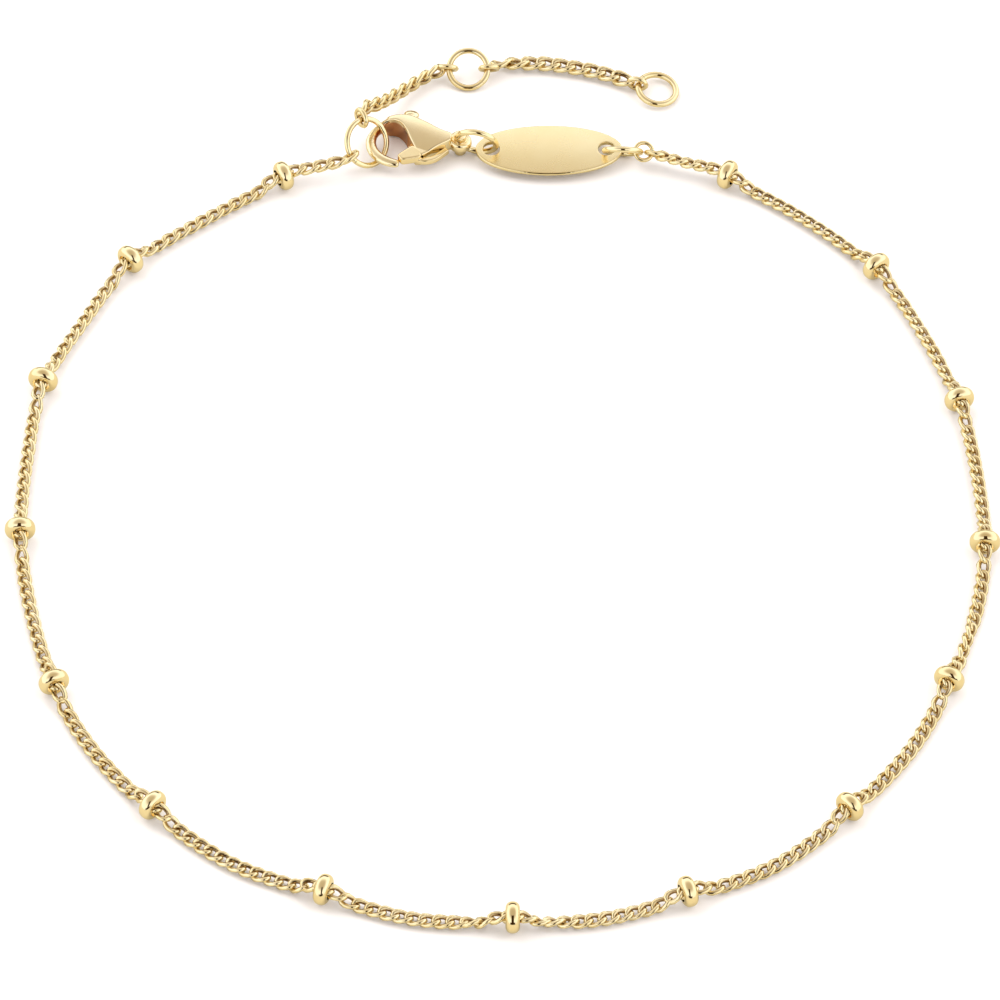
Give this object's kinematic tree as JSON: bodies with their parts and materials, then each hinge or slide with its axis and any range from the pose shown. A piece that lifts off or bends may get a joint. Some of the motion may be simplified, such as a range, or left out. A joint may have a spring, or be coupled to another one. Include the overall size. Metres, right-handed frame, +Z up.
{
  "type": "chain anklet",
  "caption": "Fine curb-chain anklet with small round station beads, an oval tag, a lobster clasp and a short extender that ends in a ring.",
  "frame": {"origin": "under the middle of the assembly's bounding box, on the surface that it lies on", "axes": "+Z up from the surface, +Y from the middle of the loop towards the clasp, the tag and the extender, +X to the right when +Y points away"},
  "size_m": [0.074, 0.0834, 0.0038],
  "materials": {
    "polished_gold_plate": "polished, gold plated",
    "satin_gold_plate": "soft polish, gold plated"
  },
  "bodies": {
    "root": {"chain": "polished_gold_plate", "extender_first_chain": "polished_gold_plate", "extender_second_chain": "polished_gold_plate", "bead_01": "polished_gold_plate", "bead_02": "polished_gold_plate", "bead_03": "polished_gold_plate", "bead_04": "polished_gold_plate", "bead_05": "polished_gold_plate", "bead_06": "polished_gold_plate", "bead_07": "polished_gold_plate", "bead_08": "polished_gold_plate", "bead_09": "polished_gold_plate", "bead_10": "polished_gold_plate", "bead_11": "polished_gold_plate", "bead_12": "polished_gold_plate", "bead_13": "polished_gold_plate", "bead_14": "polished_gold_plate", "bead_15": "polished_gold_plate", "clasp_ring": "polished_gold_plate", "tag_ring": "polished_gold_plate", "chain_ring": "polished_gold_plate", "extender_middle_ring": "polished_gold_plate", "extender_end_ring": "polished_gold_plate", "round_link": "polished_gold_plate", "tag": "satin_gold_plate", "clasp_body": "satin_gold_plate", "clasp_pin": "satin_gold_plate"},
    "clasp_lever": {"clasp_lever": "satin_gold_plate"}
  },
  "joints": [
    {"name": "clasp_lever_turn", "type": "hinge", "parent": "root", "child": "clasp_lever", "pos_m": [-0.00576, 0.03198, 0.0011], "axis": [0, 0, -1], "range_deg": [0, 24], "stiffness_Nm_per_rad": 0.002, "springref_deg": -8.59}
  ]
}
